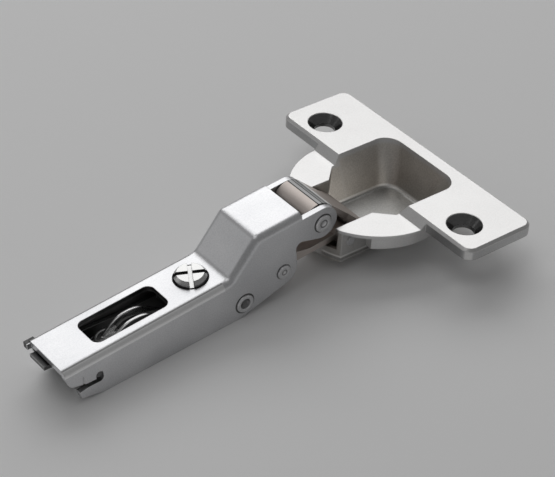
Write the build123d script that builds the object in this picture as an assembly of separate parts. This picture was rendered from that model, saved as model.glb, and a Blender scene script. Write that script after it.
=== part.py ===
from build123d import *
import os
from math import acos, atan2, cos, degrees, hypot, radians, sin, tan

# Concealed cup hinge, open, lying on the arm's lower edges and the cup's floor.
# Millimetres, +Z up, +X from the arm's rear end to the cup, z = 0 on the surface it lies on.

# Arm: one folded channel, open side down; its own frame starts at the rear end of the web's top face
ARM_SHEET = 1.4
ARM_HALF_WIDTH = 7.0
ARM_REAR_WALL = 10.1
ARM_WALL_TAPER = 1.85
ARM_BEND = 1.6
SLOT_REAR = 9.7
SLOT_LENGTH = 19.0
SLOT_HALF_WIDTH = 4.0
SLOT_ROUND = 1.8
SCREW_FROM_SLOT = 7.9
CRANK_FROM_SCREW = 5.4
CRANK_RUN = 7.7
CRANK_RISE = 7.8
CRANK_ROUND = 2.2
TOP_LINE_BAND = 0.6
WEB_END_FROM_TIP = 5.4
REAR_EDGE = ((0, -1.8), (0.7, -4.0), (2.6, -6.0), (3.2, -9.0))
REAR_FOOT = 8.6
REAR_EAR = 1.0
REAR_EAR_HEIGHT = (-1.8, -0.4)
NICK_X = (3.95, 4.25)
NICK_Z = (-5.6, -3.4)
NICK_DEPTH = 0.25
BELLY_FROM_CRANK = 1.8
BELLY_ROUND = 3.0
THROAT_RISE = 1.0
THROAT_ROUND = 1.4
LOBE_RADIUS = 3.7
EAR_RADIUS = 3.9
HOOK_X = 8.0
HOOK_Z = -5.2
HOOK_DROP = 1.0
HOOK_MOUTH = ((1.0, -4.6), (5.0, -5.75), (8.0, -5.95), (8.0, -7.05), (5.0, -6.9), (1.0, -7.5))

# Pivots of the arm, in the arm's frame
TIP_FROM_LOWER = 11.2
TIP_Z = 2.4
LOWER_FROM_CRANK = 13.9
LOWER_Z = -5.1
RIVET_FROM_CRANK = 3.2
RIVET_Z = -7.9

# Cup, in its own frame (cup axis at the plate's top face), and its open place on the arm
BORE_RADIUS = 17.5
CUP_DEPTH = 11.2
CUP_FLOOR = 0.9
CUP_WALL = 1.0
FLANGE_RADIUS = 18.6
FLANGE_DROP = 1.9
FLANGE_THICK = 0.8
SKIRT_DEPTH = 3.4
SKIRT_WALL = 1.2
SKIRT_START = -11.2
PLATE_LENGTH = 64.8
PLATE_FRONT = -0.3
PLATE_BACK = 19.1
PLATE_ROUND = 2.6
PLATE_EDGE = 0.6
SCREW_SPACING = 48.0
SCREW_OFFSET = 6.0
SCREW_HOLE = 2.4
SINK_RADIUS = 4.1
SINK_DEPTH = 1.9
POCKET_BACK = 15.4
POCKET_HALF = 12.0
POCKET_ROUND = 4.5
FLOOR_BACK = 12.7
FLOOR_EDGE = 0.9
NECK_GAP = 0.5
NECK_END = -16.6
SHOULDER_START = -6.2
SHOULDER_END = -1.4
SILL_RISE = 3.1
CUP_FROM_TIP = 19.75
CUP_UNDER_WEB = 11.8
CUP_OPEN_TILT = 6.92
FRONT_PIN_X = -12.9
FRONT_PIN_RISE = 5.0
REAR_PIN_X = -7.0
REAR_PIN_RISE = 3.3

# Fold: turns from open to closed, in degrees
CUP_FOLD_ANGLE = 96.92
OUTER_FOLD_ANGLE = -40.0
INNER_FOLD_ANGLE = -52.0

# Pins
TIP_PIN = 1.6
TIP_HEAD = 2.1
PIN = 1.1
LOWER_HEAD = 1.7
HEAD_PROUD = 0.4
CUP_PIN_PROUD = 0.25
RUN_GAP = 0.06

# Links
LINK_SHEET = 1.3
LINK_SIDE_GAP = 0.25
KNUCKLE = 4.1
REAR_EYE = 2.15
FLARE_START = 8.6
FLARE_END = 12.6
SEAM_ANGLE = 58.0
SEAM_WIDTH = 0.35
SEAM_DEPTH = 0.3
FRONT_EYE = 2.0
INNER_SHEET = 1.5
INNER_CHEEK = 1.3
INNER_WEB_START = 6.0
CAM_WALL = 1.3
CAM_SLACK = 0.12
BRACE_HEIGHT = 3.0
FOLD_STEPS = 6

# Closing spring on the hollow rivet
RIVET_RADIUS = 1.8
RIVET_BORE = 1.2
RIVET_HEAD = 2.2
SPRING_WIRE = 1.1
SPRING_PITCH = 1.25
SPRING_TURNS = 3.875
WIRE_SIDES = 6
COIL_STEPS = 10
COIL_START_ANGLE = 90
SPRING_GAP = 0.25
SPRING_FRONT_LEG = 5.2
SPRING_WEB_LEG = 5.4

# Clip bracket inside the arm
BRACKET_SHEET = 0.9
BRACKET_GAP = 0.2
BRACKET_LIP = 1.3
BRACKET_LIP_SIDE = (-1.0, 4.3)
BRACKET_WALL_START = 3.6
BRACKET_REAR_TOP = -1.85
BRACKET_KNEE_FROM_SLOT = 11.3
BRACKET_TOP = -4.5
BRACKET_BOTTOM = -9.6
BRACKET_FRONT_GAP = 1.4
WINDOW_REAR_MARGIN = 1.3
WINDOW_FRONT_MARGIN = 1.7
LUG_RADIUS = 0.75
LUG_INSET = 0.2
HOOK_GAP = 0.12

# Release lever, its cross pin and its wire spring
LEVER_SHEET = 0.8
LEVER_CENTRE = 0.4
LEVER_SHARE = 0.51
LEVER_PIN_FROM_SLOT = 3.8
LEVER_PIN_Z = -7.6
LEVER_PIN = 0.9
LEVER_EYE = 1.7
LEVER_PAD_FROM_PIN = 1.9
LEVER_PAD_Z = -5.4
LEVER_SIDE_GAP = 0.9
LEVER_BAND = 1.0
LEVER_ARCH = ((0, -6.9), (0.18, -4.6), (0.4, -2.6), (0.66, -2.8), (0.85, -5.0), (1, -6.6))
LEVER_TAIL = ((0, -8.0), (0.5, -8.3), (1, -8.3))
LEVER_TAB_X = 4.4
LEVER_TAB_HEIGHT = 3.0
WIRE = 0.5
WIRE_TURNS = 1.75
WIRE_GAP = 0.12
WIRE_LONG_LEG = 2.4
WIRE_PAD_LEG = 1.7

# Overlay screw
SCREW_RADIUS = 3.6
SCREW_GAP = 0.35
SCREW_RISE = 1.4
SCREW_BEVEL = 0.6
SCREW_NECK = 1.7
SCREW_FOOT = 2.9
SCREW_FOOT_THICK = 0.9
SCREW_PLAY = 0.12
CROSS_ANGLE = 59.0
CROSS_WIDTH = 0.95
CROSS_DEPTH = 1.3

SLOT_FRONT = SLOT_REAR + SLOT_LENGTH
SCREW_X = SLOT_FRONT + SCREW_FROM_SLOT
CRANK_START = SCREW_X + CRANK_FROM_SCREW
CRANK_END = CRANK_START + CRANK_RUN
BELLY_X = CRANK_START + BELLY_FROM_CRANK
RIVET_X = CRANK_START + RIVET_FROM_CRANK
LOWER_X = CRANK_START + LOWER_FROM_CRANK
TIP_X = LOWER_X + TIP_FROM_LOWER
CUP_OPEN_X = TIP_X + CUP_FROM_TIP
CUP_OPEN_Z = CUP_DEPTH - CUP_UNDER_WEB
FRONT_PIN_Z = FRONT_PIN_RISE - CUP_DEPTH
REAR_PIN_Z = REAR_PIN_RISE - CUP_DEPTH
NECK_HALF = ARM_HALF_WIDTH + NECK_GAP
LEVER_PIN_X = SLOT_REAR + LEVER_PIN_FROM_SLOT
ARM_FRAME = Location((0, 0, ARM_REAR_WALL), (0, -ARM_WALL_TAPER, 0))
CUP_FRAME = ARM_FRAME * Location((CUP_OPEN_X, 0, CUP_OPEN_Z), (0, CUP_OPEN_TILT, 0))
ARM_INNER_HALF = ARM_HALF_WIDTH - ARM_SHEET
LINK_HALF = ARM_INNER_HALF - LINK_SIDE_GAP
FLARE_HALF = NECK_HALF - LINK_SIDE_GAP
BRACKET_HALF = ARM_INNER_HALF - BRACKET_GAP
BRACKET_INSIDE = BRACKET_HALF - BRACKET_SHEET
LEVER_OUTSIDE = LEVER_SHARE * BRACKET_INSIDE
FLANGE_UNDER = -(FLANGE_DROP + FLANGE_THICK)
FLOOR_Z = CUP_FLOOR - CUP_DEPTH
FAR = 100.0


def turned(x, z, angle):
    """A point of the side view, turned anticlockwise about the origin."""
    a = radians(angle)
    return (x * cos(a) - z * sin(a), x * sin(a) + z * cos(a))


def shifted(point, move):
    return (point[0] + move[0], point[1] + move[1])


def span(a, b):
    """Length and angle of the line between two points of the side view."""
    return hypot(b[0] - a[0], b[1] - a[1]), degrees(atan2(b[1] - a[1], b[0] - a[0]))


def touch(point, centre, radius):
    """Angle at which a line from a point touches the underside of a circle."""
    reach, angle = span(centre, point)
    return angle + degrees(acos(radius / reach))


TIP = (TIP_X, TIP_Z)
LOWER = (LOWER_X, LOWER_Z)
RIVET = (RIVET_X, RIVET_Z)
CUP_OPEN = (CUP_OPEN_X, CUP_OPEN_Z)
FRONT_PIN = shifted(CUP_OPEN, turned(FRONT_PIN_X, FRONT_PIN_Z, -CUP_OPEN_TILT))
REAR_PIN = shifted(CUP_OPEN, turned(REAR_PIN_X, REAR_PIN_Z, -CUP_OPEN_TILT))
OUTER_LENGTH, OUTER_ANGLE = span(TIP, REAR_PIN)
INNER_LENGTH, INNER_ANGLE = span(LOWER, FRONT_PIN)
OUTER_FRAME = ARM_FRAME * Location((TIP_X, 0, TIP_Z), (0, -OUTER_ANGLE, 0))
INNER_FRAME = ARM_FRAME * Location((LOWER_X, 0, LOWER_Z), (0, -INNER_ANGLE, 0))


def slip_path():
    """Places of the lower pin in the inner link's frame as the hinge folds."""
    path = []
    for step in range(FOLD_STEPS + 1):
        part = step / FOLD_STEPS
        rear = shifted(TIP, turned(OUTER_LENGTH, 0, OUTER_ANGLE + OUTER_FOLD_ANGLE * part))
        turn = CUP_FOLD_ANGLE * part - CUP_OPEN_TILT
        front = shifted(rear, turned(FRONT_PIN_X - REAR_PIN_X, FRONT_PIN_Z - REAR_PIN_Z, turn))
        back = turned(LOWER_X - front[0], LOWER_Z - front[1], -INNER_FOLD_ANGLE * part - INNER_ANGLE)
        path.append(shifted((INNER_LENGTH, 0), back))
    return path


def side(*points):
    """A filled outline in the side view."""
    with BuildSketch(Plane.XZ) as sketch:
        with BuildLine():
            Polyline(*points, close=True)
        make_face()
    return sketch.sketch


def band(points, half):
    """A strip of even width along a line of points, with round ends."""
    with BuildSketch(Plane.XZ) as sketch:
        for start, end in zip(points, points[1:]):
            length, angle = span(start, end)
            middle = ((start[0] + end[0]) / 2, (start[1] + end[1]) / 2)
            with Locations(Location(middle, angle)):
                SlotCenterToCenter(length, 2 * half)
    return sketch.sketch


def hull(points, radius):
    """The outline drawn tight round equal circles."""
    with BuildSketch(Plane.XZ) as sketch:
        with Locations(*points):
            Circle(radius)
        make_hull()
    return sketch.sketch


def between(face, low, high):
    """A side view outline as a plate between two Y values."""
    return Pos(0, high, 0) * extrude(face, high - low)


def across(face, half):
    return extrude(face, half, both=True)


def rod(at, radius, low, high):
    """A round bar along Y."""
    return Pos(at[0], low, at[1]) * Rot(-90, 0, 0) * extrude(Circle(radius), high - low)


def block(x, y, z):
    """A box between pairs of values."""
    corner = (Align.MIN, Align.MIN, Align.MIN)
    return Pos(x[0], y[0], z[0]) * Box(x[1] - x[0], y[1] - y[0], z[1] - z[0], align=corner)


def round_corners(face, corners, radius):
    """Rounds the outline's corners nearest to the given points."""
    picked = []
    for x, z in corners:
        picked.append(min(face.vertices(), key=lambda v: hypot(v.X - x, v.Z - z)))
    return fillet(picked, radius)


def arm_bottom(x):
    """Height of the arm's lower edge, which lies flat on the ground."""
    return -ARM_REAR_WALL - x * tan(radians(ARM_WALL_TAPER))


def arm_outline():
    """Side view of the arm, filled up to the web's top line."""
    throat = (LOWER_X + LOBE_RADIUS, THROAT_RISE)
    belly = (BELLY_X, arm_bottom(BELLY_X))
    lobe_start = touch(belly, LOWER, LOBE_RADIUS)
    ear_start = touch(throat, TIP, EAR_RADIUS)
    with BuildSketch(Plane.XZ) as sketch:
        with BuildLine():
            lobe = CenterArc(LOWER, LOBE_RADIUS, lobe_start, -lobe_start)
            ear = CenterArc(TIP, EAR_RADIUS, ear_start, 90 - ear_start)
            Polyline(lobe @ 1, throat, ear @ 0)
            Polyline(ear @ 1, (TIP_X, CRANK_RISE), (CRANK_END, CRANK_RISE), (CRANK_START, 0), (0, 0),
                     *REAR_EDGE, (REAR_FOOT, arm_bottom(REAR_FOOT)), belly, lobe @ 0)
        make_face()
    face = round_corners(sketch.sketch, [(CRANK_END, CRANK_RISE), (CRANK_START, 0)], CRANK_ROUND)
    face = round_corners(face, [throat], THROAT_ROUND)
    return round_corners(face, [belly], BELLY_ROUND)


def arm_hollow():
    """Side view of the space under the web."""
    pitch = atan2(CRANK_RISE, CRANK_RUN)
    shift = ARM_SHEET * tan(pitch / 2)
    low = (CRANK_START + shift, -ARM_SHEET)
    high = (CRANK_END + shift, CRANK_RISE - ARM_SHEET)
    face = side((-1, -ARM_SHEET), low, high, (FAR, high[1]), (FAR, -FAR), (-1, -FAR))
    face = round_corners(face, [low], CRANK_ROUND + ARM_SHEET)
    return round_corners(face, [high], CRANK_ROUND - ARM_SHEET)


def on_top_line(point):
    """Whether a point lies on the web's top line, its rounded cranks included."""
    along = min(max(point.X, CRANK_START), CRANK_END)
    return abs(point.Z - CRANK_RISE * (along - CRANK_START) / CRANK_RUN) < TOP_LINE_BAND


def hook_slot():
    """Open slot at the rear of the side walls that takes the bracket's lug."""
    radius = LUG_RADIUS + HOOK_GAP
    return side(*HOOK_MOUTH) + band([(HOOK_X, HOOK_Z), (HOOK_X, HOOK_Z - HOOK_DROP)], radius)


def hinge_arm():
    body = across(arm_outline(), ARM_HALF_WIDTH)
    bends = [e for e in body.edges()
             if abs(abs(e.center().Y) - ARM_HALF_WIDTH) < 0.01 and on_top_line(e.center())]
    body = fillet(bends, ARM_BEND)
    body -= across(arm_hollow(), ARM_INNER_HALF)
    body -= block((TIP_X - WEB_END_FROM_TIP, FAR), (-FAR, FAR), (TIP_Z + EAR_RADIUS, FAR))
    body += block((-REAR_EAR, ARM_SHEET), (ARM_INNER_HALF, ARM_HALF_WIDTH), REAR_EAR_HEIGHT)
    body -= block(NICK_X, (-ARM_HALF_WIDTH, NICK_DEPTH - ARM_HALF_WIDTH), NICK_Z)
    window = RectangleRounded(SLOT_LENGTH, 2 * SLOT_HALF_WIDTH, SLOT_ROUND)
    body -= Pos((SLOT_REAR + SLOT_FRONT) / 2, 0, 0) * extrude(window, ARM_SHEET, both=True)
    body -= Pos(SCREW_X, 0, 0) * extrude(Circle(SCREW_RADIUS + SCREW_GAP), ARM_SHEET, both=True)
    body -= across(hook_slot(), FAR)
    for at, radius in ((TIP, TIP_PIN), (LOWER, PIN), (RIVET, RIVET_RADIUS)):
        body -= rod(at, radius, -FAR, FAR)
    return body


def with_heads(body, at, radius, half):
    """Adds a low round head at both ends of a bar along Y."""
    for end in (-1, 1):
        body += Pos(at[0], end * half, at[1]) * Rot(-90 * end, 0, 0) * extrude(Circle(radius), HEAD_PROUD)
    return body


def tip_pin():
    return with_heads(rod(TIP, TIP_PIN, -ARM_HALF_WIDTH, ARM_HALF_WIDTH), TIP, TIP_HEAD, ARM_HALF_WIDTH)


def lower_pin():
    return with_heads(rod(LOWER, PIN, -ARM_HALF_WIDTH, ARM_HALF_WIDTH), LOWER, LOWER_HEAD, ARM_HALF_WIDTH)


def spring_rivet():
    rivet = rod(RIVET, RIVET_RADIUS, -ARM_HALF_WIDTH, ARM_HALF_WIDTH)
    return with_heads(rivet, RIVET, RIVET_HEAD, ARM_HALF_WIDTH) - rod(RIVET, RIVET_BORE, -FAR, FAR)


def coil_path(at, centre_y, radius, pitch, turns, first_leg, last_leg):
    """Corners of a coil about an axis along Y, wound in short straight steps between two legs."""
    steps = round(turns * COIL_STEPS)
    step = 360 * turns / steps
    corner = radius / cos(radians(step / 2))
    rise = pitch * turns
    x, z = turned(radius, -first_leg, COIL_START_ANGLE)
    points = [Vector(at[0] + x, centre_y + rise / 2, at[1] + z)]
    for i in range(steps):
        x, z = turned(corner, 0, COIL_START_ANGLE + (i + 0.5) * step)
        points.append(Vector(at[0] + x, centre_y + rise * (0.5 - (i + 0.5) / steps), at[1] + z))
    x, z = turned(radius, last_leg, COIL_START_ANGLE + 360 * turns)
    return points + [Vector(at[0] + x, centre_y - rise / 2, at[1] + z)]


def bent_wire(points, wire):
    """A bar of even section through a line of corners, mitred at each."""
    start = Plane(points[0], z_dir=points[1] - points[0])
    ring = [start.from_local_coords(v.center()) for v in RegularPolygon(wire / 2, WIRE_SIDES).vertices()]
    faces = [make_face(Polyline(*ring, close=True))]
    for before, point, after in zip(points, points[1:], points[2:] + [points[-1] * 2 - points[-2]]):
        along = (point - before).normalized()
        mitre = along + (after - point).normalized()
        ring = [p + along * ((point - p).dot(mitre) / along.dot(mitre)) for p in ring]
        faces.append(make_face(Polyline(*ring, close=True)))
    return loft(faces, ruled=True)


def closing_spring():
    radius = RIVET_RADIUS + SPRING_GAP + SPRING_WIRE / 2
    path = coil_path(RIVET, 0, radius, SPRING_PITCH, SPRING_TURNS, SPRING_FRONT_LEG, SPRING_WEB_LEG)
    return bent_wire(path, SPRING_WIRE)


def trough(grow, floor):
    """A long hollow, sides and back sloping in towards the floor, with rounded back corners."""
    half = POCKET_HALF + grow
    foot = NECK_HALF + grow
    back = POCKET_BACK + grow
    start = -BORE_RADIUS - grow - 1
    ends = Plane.YZ * make_face(Polyline((-half, 0), (half, 0), (foot, floor), (-foot, floor), close=True))
    profile = side((start, 0), (back, 0), (back - POCKET_BACK + FLOOR_BACK, floor), (start, floor))
    body = extrude(ends, FAR, both=True) & across(profile, FAR)
    corners = [e for e in body.edges() if e.center().X > 0 and abs(e.center().Z - floor / 2) < 0.1]
    return fillet(corners, POCKET_ROUND + grow)


def necked(body, grow):
    """Cuts a trough down to the recess's plan, with its narrow neck and slanted shoulders."""
    wide = POCKET_HALF + grow
    neck = NECK_HALF + grow
    lean = grow * tan(atan2(POCKET_HALF - NECK_HALF, SHOULDER_END - SHOULDER_START) / 2)
    start = SHOULDER_START - lean
    end = SHOULDER_END - lean
    plan = make_face(Polyline((-FAR, -neck), (start, -neck), (end, -wide), (FAR, -wide),
                              (FAR, wide), (end, wide), (start, neck), (-FAR, neck), close=True))
    return body & extrude(plan, FAR, both=True)


def cylinder(radius, low, high):
    return Pos(0, 0, low) * extrude(Circle(radius), high - low)


def skirt():
    """The ring that fits the bore, open at the neck."""
    ring = cylinder(BORE_RADIUS, FLANGE_UNDER - SKIRT_DEPTH, FLANGE_UNDER)
    ring -= cylinder(BORE_RADIUS - SKIRT_WALL, -FAR, 0)
    return ring & block((SKIRT_START, FAR), (-FAR, FAR), (-FAR, 0))


def plate():
    """The wing plate with its bevelled edge, and the ramp from its front edge down to the flange."""
    outline = RectangleRounded(PLATE_BACK - PLATE_FRONT, PLATE_LENGTH, PLATE_ROUND)
    body = Pos((PLATE_FRONT + PLATE_BACK) / 2, 0, 0) * extrude(outline, FLANGE_UNDER)
    body = chamfer(body.faces().sort_by(Axis.Z)[-1].edges(), PLATE_EDGE)
    foot = PLATE_FRONT + PLATE_EDGE - FLANGE_DROP
    ramp = side((foot, -FLANGE_DROP), (PLATE_FRONT, -PLATE_EDGE), (PLATE_BACK, -PLATE_EDGE),
                (PLATE_BACK, FLANGE_UNDER), (foot, FLANGE_UNDER))
    return body + (across(ramp, FAR) & cylinder(FLANGE_RADIUS, FLANGE_UNDER, 0))


def cup():
    tub = necked(trough(CUP_WALL, -CUP_DEPTH), CUP_WALL)
    flange = cylinder(FLANGE_RADIUS, FLANGE_UNDER, -FLANGE_DROP)
    flange &= block((NECK_END, FAR), (-FAR, FAR), (-FAR, 0))
    body = plate() + flange + (tub & cylinder(BORE_RADIUS, -CUP_DEPTH, FLANGE_UNDER)) + skirt()
    hollow = trough(0, FLOOR_Z)
    foot = [e for e in hollow.faces().sort_by(Axis.Z)[0].edges() if e.center().X > -BORE_RADIUS]
    hollow = necked(fillet(foot, FLOOR_EDGE), 0)
    end = cylinder(BORE_RADIUS - CUP_WALL, FLOOR_Z, 0)
    end += block((SHOULDER_START, FAR), (-FAR, FAR), (FLOOR_Z, 0))
    body -= hollow & end
    body -= block((-FAR, SHOULDER_START), (-NECK_HALF, NECK_HALF), (SILL_RISE - CUP_DEPTH, FAR))
    for y in (-SCREW_SPACING / 2, SCREW_SPACING / 2):
        body -= Pos(SCREW_OFFSET, y, 0) * cylinder(SCREW_HOLE, -FAR, FAR)
        body -= Pos(SCREW_OFFSET, y, -SINK_DEPTH / 2) * Cone(SCREW_HOLE, SINK_RADIUS, SINK_DEPTH)
    for at in ((FRONT_PIN_X, FRONT_PIN_Z), (REAR_PIN_X, REAR_PIN_Z)):
        body -= rod(at, PIN, -FAR, FAR)
    return body


def cup_pin(at):
    half = NECK_HALF + CUP_WALL + CUP_PIN_PROUD
    return rod(at, PIN, -half, half)


def outer_link():
    """Rolled knuckle on the tip pin, a flared plate, and an eye on the cup's rear pin."""
    lean = degrees(acos((KNUCKLE - REAR_EYE) / OUTER_LENGTH))
    start = turned(KNUCKLE, 0, lean)
    end = shifted((OUTER_LENGTH, 0), turned(REAR_EYE, 0, lean))
    inward = turned(LINK_SHEET, 0, lean + 180)
    strip = side(start, end, shifted(end, inward), shifted(start, inward))
    plate = across(strip, FLARE_HALF) + rod((OUTER_LENGTH, 0), REAR_EYE, -FLARE_HALF, FLARE_HALF)
    plan = make_face(Polyline((-FAR, -LINK_HALF), (FLARE_START, -LINK_HALF), (FLARE_END, -FLARE_HALF),
                              (FAR, -FLARE_HALF), (FAR, FLARE_HALF), (FLARE_END, FLARE_HALF),
                              (FLARE_START, LINK_HALF), (-FAR, LINK_HALF), close=True))
    plate &= extrude(plan, FAR, both=True)
    body = plate + rod((0, 0), KNUCKLE, -LINK_HALF, LINK_HALF)
    seam = block((KNUCKLE - SEAM_DEPTH, FAR), (-FAR, FAR), (-SEAM_WIDTH / 2, SEAM_WIDTH / 2))
    body -= Rot(0, OUTER_ANGLE - SEAM_ANGLE, 0) * (seam & block((0, KNUCKLE + 0.1), (-FAR, FAR), (-1, 1)))
    body -= rod((0, 0), TIP_PIN + RUN_GAP, -FAR, FAR)
    return body - rod((OUTER_LENGTH, 0), PIN + RUN_GAP, -FAR, FAR)


def inner_link():
    """Plate with an eye on the cup's front pin and two cheeks slotted for the lower pin."""
    path = slip_path()
    low = -INNER_SHEET / 2
    cheek = hull(path, PIN + CAM_SLACK + CAM_WALL)
    cheek += side((0, low), (INNER_LENGTH / 2, low), (INNER_LENGTH / 2, -low), (path[-1][0], BRACE_HEIGHT))
    cheek -= hull(path, PIN + CAM_SLACK)
    body = rod((INNER_LENGTH, 0), FRONT_EYE, -LINK_HALF, LINK_HALF)
    body += block((INNER_WEB_START, INNER_LENGTH), (-LINK_HALF, LINK_HALF), (low, -low))
    for inside in (-LINK_HALF, LINK_HALF - INNER_CHEEK):
        body += between(cheek, inside, inside + INNER_CHEEK)
    return body - rod((INNER_LENGTH, 0), PIN + RUN_GAP, -FAR, FAR)


def bracket_top(x):
    """Height of the bracket's web, sloping down to a level front part."""
    knee = SLOT_REAR + BRACKET_KNEE_FROM_SLOT
    return BRACKET_REAR_TOP + (BRACKET_TOP - BRACKET_REAR_TOP) * min(x, knee) / knee


def bracket():
    rear = (-BRACKET_LIP, bracket_top(-BRACKET_LIP))
    knee = (SLOT_REAR + BRACKET_KNEE_FROM_SLOT, BRACKET_TOP)
    front = (CRANK_START - BRACKET_FRONT_GAP, BRACKET_TOP)
    wall_start = (BRACKET_WALL_START, bracket_top(BRACKET_WALL_START))
    web = [rear, knee, front]
    under = [(x, z - BRACKET_SHEET) for x, z in reversed(web)]
    body = across(side(*web, *under), BRACKET_HALF)
    for low in (-FAR, BRACKET_LIP_SIDE[1]):
        high = BRACKET_LIP_SIDE[0] if low < 0 else FAR
        body -= block((-FAR, 1.0), (low, high), (-FAR, FAR))
    wall = side(wall_start, knee, front, (front[0], BRACKET_BOTTOM),
                (BRACKET_WALL_START + 1.0, BRACKET_BOTTOM), (BRACKET_WALL_START, HOOK_Z))
    for inside in (-BRACKET_HALF, BRACKET_INSIDE):
        body += between(wall, inside, inside + BRACKET_SHEET)
    window = (SLOT_REAR - WINDOW_REAR_MARGIN, SLOT_FRONT + WINDOW_FRONT_MARGIN)
    body -= block(window, (-BRACKET_INSIDE, BRACKET_INSIDE), (BRACKET_TOP - BRACKET_SHEET, FAR))
    notch = SCREW_NECK + SCREW_PLAY
    body -= Pos(SCREW_X, 0, BRACKET_TOP - BRACKET_SHEET) * extrude(Circle(notch), FAR)
    body -= block((SCREW_X, FAR), (-notch, notch), (BRACKET_TOP - BRACKET_SHEET, FAR))
    lug = (HOOK_X, HOOK_Z)
    reach = ARM_HALF_WIDTH - LUG_INSET
    body += rod(lug, LUG_RADIUS, -reach, -BRACKET_INSIDE) + rod(lug, LUG_RADIUS, BRACKET_INSIDE, reach)
    return body - rod((LEVER_PIN_X, LEVER_PIN_Z), LEVER_PIN, -FAR, FAR)


def lever_pin():
    return rod((LEVER_PIN_X, LEVER_PIN_Z), LEVER_PIN, -BRACKET_HALF, BRACKET_HALF)


def release_lever():
    """Two S-shaped cheeks joined by a round pad and a broad tab at the rear."""
    pin = (LEVER_PIN_X, LEVER_PIN_Z)
    arch = [(LEVER_PIN_X + share * (SLOT_FRONT - LEVER_PIN_X), z) for share, z in LEVER_ARCH]
    tail = [(LEVER_PIN_X + share * (LEVER_TAB_X - LEVER_PIN_X), z) for share, z in LEVER_TAIL]
    cheek = band(arch, LEVER_BAND) + band(tail, LEVER_BAND) + hull([pin, arch[0]], LEVER_EYE)
    body = between(cheek, LEVER_OUTSIDE - LEVER_SHEET, LEVER_OUTSIDE)
    near = 2 * LEVER_CENTRE - LEVER_OUTSIDE
    body += between(cheek, near, near + LEVER_SHEET)
    half = BRACKET_INSIDE - LEVER_SIDE_GAP
    pad = extrude(Circle(half - LEVER_CENTRE), LEVER_SHEET)
    body += Pos(LEVER_PIN_X + LEVER_PAD_FROM_PIN, LEVER_CENTRE, LEVER_PAD_Z) * pad
    foot = LEVER_TAIL[-1][1] - LEVER_BAND
    body += block((LEVER_TAB_X - LEVER_SHEET, LEVER_TAB_X), (-half, half), (foot, foot + LEVER_TAB_HEIGHT))
    return body - rod(pin, LEVER_PIN + RUN_GAP, -FAR, FAR)


def lever_spring():
    radius = LEVER_PIN + WIRE_GAP + WIRE / 2
    room = BRACKET_INSIDE - LEVER_OUTSIDE
    pitch = (room - WIRE - 2 * WIRE_GAP) / WIRE_TURNS
    at = (LEVER_PIN_X, LEVER_PIN_Z)
    path = coil_path(at, LEVER_OUTSIDE + room / 2, radius, pitch, WIRE_TURNS, WIRE_LONG_LEG, WIRE_PAD_LEG)
    return bent_wire(path, WIRE)


def overlay_screw():
    """Screw standing proud of the web, cross-slotted to its rim, its neck and foot held by the bracket."""
    under = BRACKET_TOP - BRACKET_SHEET - SCREW_PLAY
    body = cylinder(SCREW_RADIUS, BRACKET_TOP + SCREW_PLAY, SCREW_RISE)
    body = chamfer(body.edges().sort_by(Axis.Z)[-1], SCREW_BEVEL)
    body += cylinder(SCREW_NECK, under - SCREW_FOOT_THICK, BRACKET_TOP + SCREW_PLAY)
    body += cylinder(SCREW_FOOT, under - SCREW_FOOT_THICK, under)
    for turn in (0, 90):
        slot = Pos(0, 0, SCREW_RISE) * extrude(Rectangle(FAR, CROSS_WIDTH), -CROSS_DEPTH)
        body -= Rot(0, 0, CROSS_ANGLE + turn) * slot
    return Pos(SCREW_X, 0, 0) * body


PARTS = {
    "hinge_arm": ARM_FRAME * hinge_arm(),
    "tip_pin": ARM_FRAME * tip_pin(),
    "lower_pin": ARM_FRAME * lower_pin(),
    "spring_rivet": ARM_FRAME * spring_rivet(),
    "closing_spring": ARM_FRAME * closing_spring(),
    "outer_link": OUTER_FRAME * outer_link(),
    "inner_link": INNER_FRAME * inner_link(),
    "cup": CUP_FRAME * cup(),
    "cup_pin_front": CUP_FRAME * cup_pin((FRONT_PIN_X, FRONT_PIN_Z)),
    "cup_pin_rear": CUP_FRAME * cup_pin((REAR_PIN_X, REAR_PIN_Z)),
    "bracket": ARM_FRAME * bracket(),
    "lever_pin": ARM_FRAME * lever_pin(),
    "lever_spring": ARM_FRAME * lever_spring(),
    "release_lever": ARM_FRAME * release_lever(),
    "overlay_screw": ARM_FRAME * overlay_screw(),
}

os.makedirs("parts", exist_ok=True)
for name, shape in PARTS.items():
    export_step(shape, f"parts/{name}.step")
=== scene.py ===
import bpy
import bmesh
from math import cos, pi, radians, sin
from mathutils import Euler, Matrix, Vector
from mathutils.geometry import interpolate_bezier


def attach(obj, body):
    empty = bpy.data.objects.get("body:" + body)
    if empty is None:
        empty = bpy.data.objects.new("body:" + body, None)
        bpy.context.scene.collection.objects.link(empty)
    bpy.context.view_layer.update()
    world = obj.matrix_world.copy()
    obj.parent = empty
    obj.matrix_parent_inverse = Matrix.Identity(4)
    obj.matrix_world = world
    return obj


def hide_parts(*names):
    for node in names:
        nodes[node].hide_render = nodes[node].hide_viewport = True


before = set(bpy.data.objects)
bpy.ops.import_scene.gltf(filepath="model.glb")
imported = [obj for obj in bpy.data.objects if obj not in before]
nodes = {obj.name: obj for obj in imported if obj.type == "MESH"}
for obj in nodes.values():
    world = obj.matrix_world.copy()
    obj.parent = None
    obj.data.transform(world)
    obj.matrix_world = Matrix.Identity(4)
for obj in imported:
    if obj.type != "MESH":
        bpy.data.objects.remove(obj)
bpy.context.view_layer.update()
print("frame loaded:", len(nodes), "nodes")

mm = 0.001

# the arm's and the cup's own frames, as the part was drawn: the origin's place in mm and the tilt in degrees
armFrame = {"x": 0.0, "z": 10.1, "tilt": -1.85}
cupFrame = {"x": 86.825, "z": 12.304, "tilt": 5.07}

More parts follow.
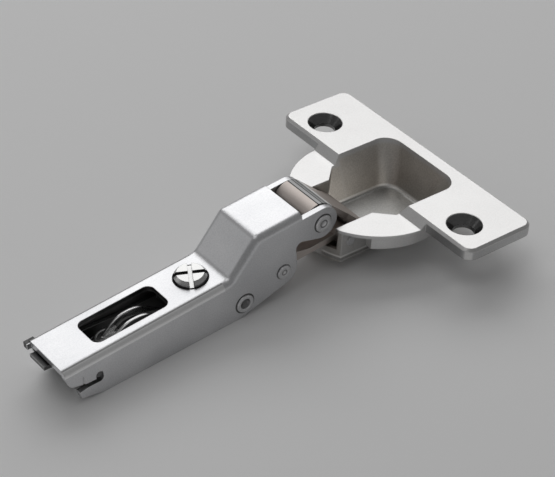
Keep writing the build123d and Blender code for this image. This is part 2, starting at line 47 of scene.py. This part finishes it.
# pins and screw, in the arm's frame: place along it and height
tipPivot = (67.1, 2.4)
lowerPivot = (55.9, -5.1)
rivetPlace = (45.2, -7.9)
leverPivot = (13.5, -7.6)
screwAlong = 36.6
earHalf = 7.0  # from the middle to the outside of the arm's walls


def placed(own, x, y, z):
    # a point of one of the two frames, in the shared one
    turn = radians(own["tilt"])
    return Vector((own["x"] + x * cos(turn) + z * sin(turn), y, own["z"] - x * sin(turn) + z * cos(turn))) * mm


class Wire:
    # a socket in a material's node tree; sums on wires add maths nodes
    def __init__(self, tree, socket=None):
        self.tree = tree
        self.socket = socket

    def node(self, kind, settings=None, sockets=None, out=0):
        made = self.tree.nodes.new("ShaderNode" + kind)
        for name, value in (settings or {}).items():
            setattr(made, name, value)
        for name, value in (sockets or {}).items():
            if isinstance(value, Wire):
                self.tree.links.new(value.socket, made.inputs[name])
            else:
                made.inputs[name].default_value = value
        return Wire(self.tree, made.outputs[out] if made.outputs else None)

    def maths(self, operation, *values):
        return self.node("Math", {"operation": operation}, dict(enumerate(values)))

    def __add__(self, other):
        return self.maths("ADD", self, other)

    def __sub__(self, other):
        return self.maths("SUBTRACT", self, other)

    def __rsub__(self, other):
        return self.maths("SUBTRACT", other, self)

    def __mul__(self, other):
        return self.maths("MULTIPLY", self, other)

    __radd__ = __add__
    __rmul__ = __mul__

    def __abs__(self):
        return self.maths("ABSOLUTE", self)

    def dot(self, way):
        return self.node("VectorMath", {"operation": "DOT_PRODUCT"}, {0: self, 1: way}, 1)

    def stepped(self, low, high):
        # 0 below the low value, 1 above the high one
        return self.node("MapRange", {"clamp": True}, {"Value": self, "From Min": low, "From Max": high})

    def past(self, edge, soft):
        return self.stepped(edge - soft, edge + soft)

    def mixed(self, first, second):
        return self.node("Mix", {"data_type": "RGBA"}, {0: self, 6: first, 7: second}, 2)


def rgba(colour):
    # a single number is a grey
    return (colour, colour, colour, 1) if isinstance(colour, float) else (*colour, 1)


def noise(where, perMm, detail, rough):
    # the pattern's own size is set in features per millimetre
    scaled = where.node("Mapping", {}, {"Vector": where, "Scale": (perMm / mm,) * 3})
    return where.node("TexNoise", {}, {"Vector": scaled, "Scale": 1.0, "Detail": detail, "Roughness": rough})


def along(where, own, axis):
    # place on one of a frame's own axes, in mm
    turn = radians(own["tilt"])
    way = {"x": (cos(turn), 0, -sin(turn)), "y": (0, 1, 0), "z": (sin(turn), 0, cos(turn))}[axis]
    start = own["x"] * way[0] + own["z"] * way[2]
    return where.dot([w / mm for w in way]) - start


def distance(first, second):
    return first.maths("SQRT", first * first + second * second)


def patchMask(place, patch):
    # 1 inside a patch and 0 outside, with a soft border. x, y and z are spans; half is a span over the middle;
    # leanBack and leanSide slope the front and the sides with the depth; hole and ring are round, seen from above
    # and from the side; cross is the recess of a screw
    soft = patch.get("soft", 0.1)
    x, y, z = place["x"], place["y"], place["z"]
    mask = z.past(patch["z"][0], soft) * (1 - z.past(patch["z"][1], soft))
    if "x" in patch:
        back = x - z * patch["leanBack"] if "leanBack" in patch else x
        mask = mask * x.past(patch["x"][0], soft) * (1 - back.past(patch["x"][1], soft))
    if "y" in patch:
        mask = mask * y.past(patch["y"][0], soft) * (1 - y.past(patch["y"][1], soft))
    if "half" in patch:
        across = abs(y) - z * patch["leanSide"] if "leanSide" in patch else abs(y)
        mask = mask * (1 - across.past(patch["half"], soft))
    if "hole" in patch:
        middleX, middleY, radius = patch["hole"]
        mask = mask * (1 - distance(x - middleX, abs(y) - middleY).past(radius, soft))
    if "ring" in patch:
        (middleX, middleZ), inner, outer = patch["ring"]
        away = distance(x - middleX, z - middleZ)
        mask = mask * away.past(inner, soft) * (1 - away.past(outer, soft))
    if "cross" in patch:
        middleX, angle, half = patch["cross"]
        turn = radians(angle)
        first = abs((x - middleX) * cos(turn) + y * sin(turn))
        second = abs((x - middleX) * -sin(turn) + y * cos(turn))
        mask = mask * (1 - first.maths("MINIMUM", first, second).past(half, soft))
    return mask


# what all the metals share: the spans of the noises that count, and the bump's depth in mm
surface = {"cloudSpan": (0.3, 0.7), "grainSpan": (0.33, 0.67), "pitSpan": (0.68, 0.78), "wornAndSheenSpan": (0.01, 0.16),
           "fineSize": 3.1, "pitSize": 0.45, "fineShare": 0.3, "grainRough": 0.08, "wornPolish": 0.1,
           "bumpDepth": 0.02, "bevelSamples": 6}


# one plated or bare metal: satin grain, faint clouding, soft worn edges; the edges' lighter rim colour is partly wear
# and partly a painted highlight
def plated(name, look):
    made = bpy.data.materials.new(name)
    made.use_nodes = True
    made.node_tree.nodes.clear()
    start = Wire(made.node_tree)
    where = start.node("TexCoord", out=3)
    cloud = noise(where, look["cloud"], 2.0, 0.5)
    grain = noise(where, look["grain"], 4.0, 0.6)
    fine = noise(where, look["grain"] * surface["fineSize"], 2.0, 0.5)
    pits = noise(where, look["grain"] * surface["pitSize"], 2.0, 0.5).stepped(*surface["pitSpan"])
    rounded = start.node("Bevel", {"samples": surface["bevelSamples"]}, {"Radius": look["edge"] * mm})
    facing = start.node("NewGeometry", out=1)
    # edges lightened towards the rim colour: real wear and a painted edge highlight
    wornAndSheen = (1 - rounded.dot(facing)).stepped(*surface["wornAndSheenSpan"]) * look["wearAndSheen"]
    shade = cloud.stepped(*surface["cloudSpan"]) * 0.5 + grain.stepped(*surface["grainSpan"]) * 0.5
    tone = wornAndSheen.mixed(shade.mixed(rgba(look["dark"]), rgba(look["light"])), rgba(look["rim"]))
    rough = look["rough"] + (cloud - 0.5) * look["roughSpread"] + (grain - 0.5) * surface["grainRough"]
    rough = rough - wornAndSheen * surface["wornPolish"]
    # the patches paint shade and highlights over the colour, in the part's own frame
    if "patches" in look:
        place = {axis: along(where, look["frame"], axis) for axis in "xyz"}
    for patch in look.get("patches", []):
        mask = patchMask(place, patch)
        tone = mask.mixed(tone, shade.mixed(rgba(patch["dark"]), rgba(patch["light"])))
        if "rougher" in patch:
            rough = rough + mask * patch["rougher"]
    height = grain * (1 - surface["fineShare"]) + fine * surface["fineShare"] - pits * look["pitting"]
    if "thread" in look:
        turn = radians(look["frame"]["tilt"])
        rise = where.dot((sin(turn), 0, cos(turn)))
        height = height + rise.maths("SINE", rise * (2 * pi / (look["thread"] * mm))) * look["threadDepth"]
    bump = start.node("Bump", {}, {"Strength": look["bump"], "Distance": surface["bumpDepth"] * mm,
                                   "Height": height, "Normal": rounded})
    shader = start.node("BsdfPrincipled", {}, {"Base Color": tone, "Metallic": look["metal"], "Roughness": rough,
                                               "Normal": bump})
    start.node("OutputMaterial", {}, {"Surface": shader})
    return made


# painted shade on the arm: in the slot's cut edge and the channel's inside; painted shadow rings at the seams round the
# pins
armPaintedLight = [
    {"x": (9.5, 28.9), "half": 4.2, "z": (-1.6, -0.14), "soft": 0.04, "dark": 0.12, "light": 0.20},
    {"x": (0.3, 41.0), "half": 6.0, "z": (-11.0, -1.0), "dark": 0.26, "light": 0.36, "rougher": 0.1},
    {"x": (51.5, 62.5), "half": 6.0, "z": (-11.0, 6.8), "dark": 0.26, "light": 0.36, "rougher": 0.1},
    # painted shadow rings round the pin heads, where the seams are
    {"ring": (tipPivot, 1.9, 2.35), "z": (-2.0, 6.0), "soft": 0.06, "dark": 0.10, "light": 0.16},
    {"ring": (lowerPivot, 1.5, 1.9), "z": (-8.0, -2.0), "soft": 0.06, "dark": 0.22, "light": 0.30},
    {"ring": (rivetPlace, 2.0, 2.5), "z": (-11.0, -4.0), "soft": 0.06, "dark": 0.10, "light": 0.16},
]
# the bends along the arm's rear part: a painted shade line where each starts, then a painted highlight along the bend
for low, high in ((5.72, 6.1), (-6.1, -5.72)):
    armPaintedLight.append({"x": (0.0, 40.5), "y": (low, high), "z": (-0.5, 0.5), "soft": 0.06, "dark": 0.34, "light": 0.46})
for low, high in ((6.1, 8.0), (-8.0, -6.1)):
    armPaintedLight.append({"x": (0.0, 40.5), "y": (low, high), "z": (-1.5, -0.1), "dark": 0.84, "light": 0.96,
                       "rougher": 0.08})
# painted shade darkening the far rear ear, last because it lies over a bend
armPaintedLight.append({"x": (-2.0, 1.5), "y": (5.8, 8.0), "z": (-2.0, -0.2), "dark": 0.05, "light": 0.10})

# painted shade on the cup: brownish in the recess and the neck's inside, a painted shade line at the floor's edge, a
# painted highlight at the foot of the walls, and painted shade in the two countersinks
recess = {"x": (-0.1, 15.9), "leanBack": 0.241, "half": 12.5, "leanSide": 0.366, "z": (-12.0, -1.0), "soft": 0.3,
          "dark": (0.48, 0.455, 0.42), "light": (0.78, 0.75, 0.71), "rougher": 0.02}
wholeRecess = {"x": (-17.0, 15.9), "leanBack": 0.241, "half": 12.5, "leanSide": 0.366, "soft": 0.12}
cupPaintedLight = [
    recess,
    {"x": (-4.5, -0.1), "half": 12.5, "leanSide": 0.366, "z": (-12.0, -2.4), "soft": 0.3,
     "dark": recess["dark"], "light": recess["light"], "rougher": 0.02},
    # deeper painted shade in the narrow part of the neck
    {"x": (-17.0, -4.5), "half": 8.4, "z": (-12.0, -2.4), "soft": 0.3,
     "dark": (0.42, 0.40, 0.375), "light": (0.60, 0.575, 0.545), "rougher": 0.04},
    # a painted shade line at the floor's edge, then a painted highlight along the foot of the walls
    {**wholeRecess, "z": (-10.7, -10.05), "dark": (0.28, 0.275, 0.265), "light": (0.50, 0.495, 0.48), "rougher": 0.04},
    {**wholeRecess, "z": (-9.95, -9.5), "dark": (0.84, 0.83, 0.81), "light": (0.97, 0.96, 0.94)},
    # painted shade in the countersinks, with a smoother machined cone
    {"hole": (6.0, 24.0, 4.25), "z": (-3.0, -0.13), "soft": 0.04, "dark": 0.09, "light": 0.24, "rougher": -0.2},
]
# painted shade on the wing plate's cut edges, darker than its faces
for low, high in ((32.1, 33.0), (-33.0, -32.1)):
    cupPaintedLight.append({"y": (low, high), "z": (-2.9, -0.65), "dark": 0.40, "light": 0.56})
for low, high in ((18.7, 33.0), (-33.0, -18.7)):
    cupPaintedLight.append({"x": (-0.8, -0.1), "y": (low, high), "z": (-2.9, -0.65), "dark": 0.34, "light": 0.48})

# painted shade in the bore and dimples of the riveted pins
pinPaintedShade = [
    {"ring": (rivetPlace, -1.0, 1.25), "z": (-10.0, -5.0), "dark": 0.05, "light": 0.10},
    {"ring": (tipPivot, 0.72, 0.98), "z": (1.0, 4.0), "dark": 0.10, "light": 0.18},
    {"ring": (lowerPivot, 0.5, 0.72), "z": (-6.0, -4.0), "dark": 0.14, "light": 0.22},
]
# painted stripes where the outer link leaves its knuckle: a painted shade band, painted shadow lines at the seam and
# the plate edge, and a painted highlight on the edge
linkPaintedLight = [
    {"x": (67.2, 69.7), "z": (2.4, 7.0), "soft": 0.05, "dark": 0.36, "light": 0.46},
    {"x": (67.2, 67.5), "z": (2.4, 7.0), "soft": 0.05, "dark": 0.03, "light": 0.06},
    {"x": (68.3, 68.55), "z": (2.4, 7.0), "soft": 0.05, "dark": 0.08, "light": 0.12},
    {"x": (69.7, 71.0), "z": (0.5, 6.0), "soft": 0.08, "dark": 0.92, "light": 0.99, "rougher": 0.1},
]
# painted shade in the screw head's cross recess
screwPaintedShade = [{"cross": (screwAlong, 59.0, 0.56), "z": (0.22, 1.33), "soft": 0.04, "dark": 0.06, "light": 0.12}]

# cloud and grain are in features per mm, edge and thread in mm
finishes = {
    "armNickel": {"dark": (0.58, 0.585, 0.60), "light": (0.80, 0.80, 0.81), "rim": 0.88, "metal": 1.0,
                  "rough": 0.36, "roughSpread": 0.06, "cloud": 0.08, "grain": 3.0, "bump": 0.45, "pitting": 0.3,
                  "edge": 0.18, "wearAndSheen": 0.7, "frame": armFrame, "patches": armPaintedLight},
    "cupNickel": {"dark": (0.62, 0.615, 0.61), "light": (0.75, 0.745, 0.74), "rim": (0.88, 0.87, 0.86), "metal": 1.0,
                  "rough": 0.37, "roughSpread": 0.08, "cloud": 0.10, "grain": 3.0, "bump": 0.4, "pitting": 0.4,
                  "edge": 0.25, "wearAndSheen": 0.6, "frame": cupFrame, "patches": cupPaintedLight},
    "linkNickel": {"dark": (0.55, 0.495, 0.46), "light": (0.65, 0.59, 0.555), "rim": (0.82, 0.80, 0.78), "metal": 1.0,
                   "rough": 0.52, "roughSpread": 0.05, "cloud": 0.15, "grain": 5.0, "bump": 0.2, "pitting": 0.1,
                   "edge": 0.15, "wearAndSheen": 0.7, "frame": armFrame, "patches": linkPaintedLight},
    "bracketZinc": {"dark": 0.13, "light": 0.20, "rim": 0.70, "metal": 1.0,
                    "rough": 0.34, "roughSpread": 0.08, "cloud": 0.2, "grain": 4.0, "bump": 0.2, "pitting": 0.2,
                    "edge": 0.12, "wearAndSheen": 0.9},
    "leverZinc": {"dark": 0.50, "light": 0.62, "rim": 0.95, "metal": 1.0,
                  "rough": 0.26, "roughSpread": 0.06, "cloud": 0.2, "grain": 4.0, "bump": 0.15, "pitting": 0.1,
                  "edge": 0.14, "wearAndSheen": 1.0},
    "screwBright": {"dark": 0.56, "light": (0.66, 0.66, 0.65), "rim": 0.90, "metal": 1.0,
                    "rough": 0.28, "roughSpread": 0.05, "cloud": 0.3, "grain": 5.0, "bump": 0.15, "pitting": 0.1,
                    "edge": 0.12, "wearAndSheen": 0.7, "thread": 0.5, "threadDepth": 2.0,
                    "frame": armFrame, "patches": screwPaintedShade},
    "pinSteel": {"dark": (0.62, 0.62, 0.63), "light": (0.76, 0.76, 0.77), "rim": 0.92, "metal": 1.0,
                 "rough": 0.28, "roughSpread": 0.06, "cloud": 0.3, "grain": 5.0, "bump": 0.2, "pitting": 0.1,
                 "edge": 0.12, "wearAndSheen": 0.7, "frame": armFrame, "patches": pinPaintedShade},
    "springSteel": {"dark": (0.16, 0.16, 0.17), "light": (0.26, 0.26, 0.27), "rim": 0.50, "metal": 0.9,
                    "rough": 0.42, "roughSpread": 0.08, "cloud": 0.4, "grain": 4.0, "bump": 0.2, "pitting": 0.2,
                    "edge": 0.08, "wearAndSheen": 0.4},
}
metals = {name: plated(name, look) for name, look in finishes.items()}

wears = {
    "hinge_arm": "armNickel", "cup": "cupNickel", "outer_link": "linkNickel", "inner_link": "linkNickel",
    "bracket": "bracketZinc", "release_lever": "leverZinc", "overlay_screw": "screwBright",
    "tip_pin": "pinSteel", "lower_pin": "pinSteel", "spring_rivet": "pinSteel", "cup_pin_front": "pinSteel",
    "cup_pin_rear": "pinSteel", "lever_pin": "pinSteel", "closing_spring": "springSteel", "lever_spring": "springSteel",
}
for nodeName, finish in wears.items():
    nodes[nodeName].data.materials.clear()
    nodes[nodeName].data.materials.append(metals[finish])
print("finishes set:", len(wears))


def addPiece(bm, name, body, stoodFor):
    # the new mesh rides on its body in place of the solid, with the solid's finish
    bmesh.ops.recalc_face_normals(bm, faces=bm.faces)
    mesh = bpy.data.meshes.new(name)
    bm.to_mesh(mesh)
    bm.free()
    mesh.materials.append(metals[wears[stoodFor]])
    for polygon in mesh.polygons:
        polygon.use_smooth = True
    piece = bpy.data.objects.new(name, mesh)
    bpy.context.scene.collection.objects.link(piece)
    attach(piece, body)
    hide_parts(stoodFor)


def linked(verts, kind):
    # the edges or faces on some vertices, each once and always in the same order
    return list(dict.fromkeys(item for vert in verts for item in getattr(vert, kind)))


# riveted pin ends, in mm: a rounded rim and a shallow punched dimple
pinEnds = {
    "tip_pin": {"at": tipPivot, "proud": 0.4, "head": 2.1, "shank": 1.6, "rim": 0.22, "dimple": 0.8,
                "sink": 0.14, "bore": 0.0},
    "lower_pin": {"at": lowerPivot, "proud": 0.4, "head": 1.7, "shank": 1.1, "rim": 0.2, "dimple": 0.6,
                  "sink": 0.12, "bore": 0.0},
    "spring_rivet": {"at": rivetPlace, "proud": 0.4, "head": 2.2, "shank": 1.8, "rim": 0.3, "dimple": 1.5,
                     "sink": 0.15, "bore": 1.2},
}
turning = {"steps": 48, "rimSteps": 5, "slopeIn": 0.25, "slopeOut": 0.1, "leastWall": 0.01, "mergeBelow": 0.0005}


def makePin(name, sizes):
    top = earHalf + sizes["proud"]
    floor = max(sizes["dimple"] - turning["slopeIn"], sizes["bore"] + turning["leastWall"])
    end = [(top - sizes["sink"], sizes["bore"]), (top - sizes["sink"], floor),
           (top, sizes["dimple"] + turning["slopeOut"])]
    for i in range(turning["rimSteps"] + 1):
        turn = pi / 2 * i / turning["rimSteps"]
        end.append((top - sizes["rim"] * (1 - cos(turn)), sizes["head"] - sizes["rim"] * (1 - sin(turn))))
    end += [(earHalf, sizes["head"]), (earHalf, sizes["shank"])]
    profile = [(-y, r) for y, r in end] + [(y, r) for y, r in reversed(end)]
    if sizes["bore"]:
        profile.append(profile[0])
    x, z = sizes["at"]
    axis = placed(armFrame, x, 0, z)
    bm = bmesh.new()
    verts = [bm.verts.new(axis + Vector((r, y, 0)) * mm) for y, r in profile]
    edges = [bm.edges.new(pair) for pair in zip(verts, verts[1:])]
    bmesh.ops.spin(bm, geom=verts + edges, cent=axis, axis=(0, 1, 0), angle=2 * pi, steps=turning["steps"],
                   use_merge=True)
    bmesh.ops.remove_doubles(bm, verts=bm.verts, dist=turning["mergeBelow"] * mm)
    addPiece(bm, name + "_turned", "arm", name)


for name, sizes in pinEnds.items():
    makePin(name, sizes)
print("pins turned:", len(pinEnds))


# round wire wound on the pins, in the arm's frame and in mm: the first leg is at the top and runs to the front
coils = {
    "closing_spring": {"pin": rivetPlace, "middle": 0.0, "radius": 2.6, "wire": 1.1, "pitch": 1.25, "turns": 3.875,
                       "legs": (5.2, 5.4), "body": "arm"},
    "lever_spring": {"pin": leverPivot, "middle": 3.3975, "radius": 1.27, "wire": 0.5, "pitch": 0.8373, "turns": 1.75,
                     "legs": (2.4, 1.7), "body": "bracket"},
}
winding = {"perTurn": 32, "sides": 14}


def coilLine(sizes):
    x, z = sizes["pin"]
    rise = sizes["pitch"] * sizes["turns"]
    count = round(winding["perTurn"] * sizes["turns"])
    line = []
    for i in range(count + 1):
        turn = pi / 2 + 2 * pi * sizes["turns"] * i / count
        line.append((x + sizes["radius"] * cos(turn), sizes["middle"] + rise * (0.5 - i / count),
                     z + sizes["radius"] * sin(turn)))
    first, last = sizes["legs"]
    line.insert(0, (line[0][0] + first, line[0][1], line[0][2]))
    line.append((line[-1][0] - last * sin(turn), line[-1][1], line[-1][2] + last * cos(turn)))
    return [placed(armFrame, *point) for point in line]


def ringPlaces(line):
    # where the wire's round section stands at each point, turned as little as possible from one to the next
    across = Vector((0, 1, 0))
    for i, point in enumerate(line):
        ahead = (line[min(i + 1, len(line) - 1)] - line[max(i - 1, 0)]).normalized()
        across = (across - ahead * across.dot(ahead)).normalized()
        turned = Matrix((-ahead.cross(across), across, ahead)).transposed()
        yield Matrix.Translation(point) @ turned.to_4x4()


def makeTube(line, radius, name, body, stoodFor):
    bm = bmesh.new()
    rings = []
    for place in ringPlaces(line):
        ring = bmesh.ops.create_circle(bm, segments=winding["sides"], radius=radius, matrix=place)["verts"]
        rings.append(linked(ring, "link_edges"))
    for ring, ahead in zip(rings, rings[1:]):
        bmesh.ops.bridge_loops(bm, edges=ring + ahead)
    for ring in (rings[0], rings[-1]):
        bmesh.ops.contextual_create(bm, geom=ring)
    addPiece(bm, name, body, stoodFor)


for name, sizes in coils.items():
    makeTube(coilLine(sizes), sizes["wire"] / 2 * mm, name + "_wire", sizes["body"], name)
print("springs wound:", len(coils))


# the release lever, in the arm's frame and in mm: two smooth cheeks, a dished thumb pad and a rear tab
lever = {"top": [(4.4, -7.3), (8.4, -7.3), (11.3, -6.9), (13.0, -6.0), (15.5, -3.95), (17.3, -2.6), (19.4, -1.75),
                 (22.0, -1.65), (24.1, -2.1), (26.0, -3.3), (27.3, -4.4), (29.2, -5.8)],
         "foot": [(28.2, -7.4), (25.9, -5.85), (23.4, -3.95), (21.4, -3.55), (19.5, -3.7), (16.9, -5.3), (15.3, -6.9),
                  (14.9, -8.4), (13.5, -9.3), (12.2, -9.1), (8.6, -9.3), (4.4, -9.3)],
         "curveSteps": 6, "cheeks": ((-1.495, -0.695), (1.495, 2.295)), "round": 0.14, "roundSteps": 2,
         "pad": (15.4, 0.4, -5.0), "padSides": 48, "padRadius": 3.2, "padThick": 0.8, "padRim": 0.45, "padDish": 0.3,
         "tab": ((3.6, 4.4), (-3.6, 3.6), (-9.3, -6.3))}


def smoothLine(points):
    # the points joined by flowing curves
    knots = [Vector((x, 0, z)) for x, z in points]
    line = []
    for i in range(len(knots) - 1):
        before, here, ahead, after = knots[max(i - 1, 0)], knots[i], knots[i + 1], knots[min(i + 2, len(knots) - 1)]
        line += interpolate_bezier(here, here + (ahead - before) / 6, ahead - (after - here) / 6, ahead,
                                   lever["curveSteps"] + 1)[:-1]
    return line + [knots[-1]]


def makeLever():
    bm = bmesh.new()
    soft = {"offset": lever["round"], "segments": lever["roundSteps"], "profile": 0.5, "affect": "EDGES",
            "material": -1}
    outline = smoothLine(lever["top"]) + smoothLine(lever["foot"])
    for near, far in lever["cheeks"]:
        face = bm.faces.new([bm.verts.new(point + Vector((0, near, 0))) for point in outline])
        rims = list(face.edges)
        grown = bmesh.ops.extrude_face_region(bm, geom=[face])["geom"]
        bmesh.ops.translate(bm, vec=(0, far - near, 0), verts=[g for g in grown if isinstance(g, bmesh.types.BMVert)])
        rims += [g for g in grown if isinstance(g, bmesh.types.BMEdge)]
        bmesh.ops.bevel(bm, geom=rims, **soft)
    sides, radius = lever["padSides"], lever["padRadius"]
    disc = bmesh.ops.create_cone(bm, cap_ends=True, segments=sides, radius1=radius, radius2=radius,
                                 depth=lever["padThick"], matrix=Matrix.Translation(lever["pad"]))["verts"]
    caps = [f for f in linked(disc, "link_faces") if len(f.verts) == sides]
    top = max(caps, key=lambda f: f.calc_center_median().z)
    bmesh.ops.inset_region(bm, faces=[top], thickness=lever["padRim"])
    bmesh.ops.translate(bm, vec=(0, 0, -lever["padDish"]), verts=top.verts)
    bmesh.ops.bevel(bm, geom=[e for f in caps for e in f.edges], **soft)
    size = [high - low for low, high in lever["tab"]]
    middle = [(high + low) / 2 for low, high in lever["tab"]]
    block = bmesh.ops.create_cube(bm, size=1, matrix=Matrix.Translation(middle) @ Matrix.Diagonal((*size, 1)))["verts"]
    bmesh.ops.bevel(bm, geom=linked(block, "link_edges"), **soft)
    for vert in bm.verts:
        vert.co = placed(armFrame, *vert.co)
    addPiece(bm, "release_lever_formed", "release_lever", "release_lever")


makeLever()
print("lever formed")


# floor, light and camera: metres, watts and degrees, and the lens and its sensor in mm
stage = {"floorTone": 0.9, "floorRough": 0.8, "floorSize": 4.0, "floorHeight": -0.02 * mm, "skyTone": 0.19,
         "aim": (0.055, 0.0, 0.0)}
lamps = {
    "backBox": {"place": (0.50, 0.74, 0.74), "width": 1.25, "depth": 0.75, "watts": 4.25},
    "leftCard": {"place": (-0.64, 0.61, 0.40), "width": 0.6, "depth": 0.4, "watts": 0.25},
    "topBox": {"place": (-0.15, 0.1, 0.8), "width": 0.5, "depth": 0.5, "watts": 0.6},
}
photoCamera = {"place": (-0.13684, -0.25968, 0.28218), "turn": (50.0685, 1.0533, -38.0307), "lens": 126.56,
               "sensor": 36.0, "nearest": 0.01}


def makeFloor():
    bm = bmesh.new()
    bmesh.ops.create_grid(bm, x_segments=1, y_segments=1, size=stage["floorSize"],
                          matrix=Matrix.Translation((0, 0, stage["floorHeight"])))
    mesh = bpy.data.meshes.new("floor")
    bm.to_mesh(mesh)
    bm.free()
    floor = bpy.data.objects.new("floor", mesh)
    bpy.context.scene.collection.objects.link(floor)
    made = bpy.data.materials.new("paleFloor")
    made.use_nodes = True
    shader = made.node_tree.nodes["Principled BSDF"]
    shader.inputs["Base Color"].default_value = rgba(stage["floorTone"])
    shader.inputs["Roughness"].default_value = stage["floorRough"]
    mesh.materials.append(made)


def softLamp(name, sizes):
    data = bpy.data.lights.new(name, "AREA")
    data.shape = "RECTANGLE"
    data.size = sizes["width"]
    data.size_y = sizes["depth"]
    data.energy = sizes["watts"]
    lamp = bpy.data.objects.new(name, data)
    lamp.location = sizes["place"]
    lamp.rotation_euler = (Vector(stage["aim"]) - Vector(sizes["place"])).to_track_quat("-Z", "Y").to_euler()
    bpy.context.scene.collection.objects.link(lamp)


def makeSky():
    world = bpy.data.worlds.new("studio")
    world.use_nodes = True
    background = world.node_tree.nodes["Background"]
    background.inputs["Color"].default_value = rgba(stage["skyTone"])
    background.inputs["Strength"].default_value = 1.0
    bpy.context.scene.world = world


def makeCamera():
    lens = bpy.data.cameras.new("photoCamera")
    lens.lens = photoCamera["lens"]
    lens.sensor_width = photoCamera["sensor"]
    lens.clip_start = photoCamera["nearest"]
    camera = bpy.data.objects.new("photoCamera", lens)
    camera.location = photoCamera["place"]
    camera.rotation_euler = Euler([radians(a) for a in photoCamera["turn"]])
    bpy.context.scene.collection.objects.link(camera)
    bpy.context.scene.camera = camera


makeFloor()
makeSky()
for name, sizes in lamps.items():
    softLamp(name, sizes)
makeCamera()
bpy.context.scene.view_settings.view_transform = "Standard"
print("stage, light and camera set")
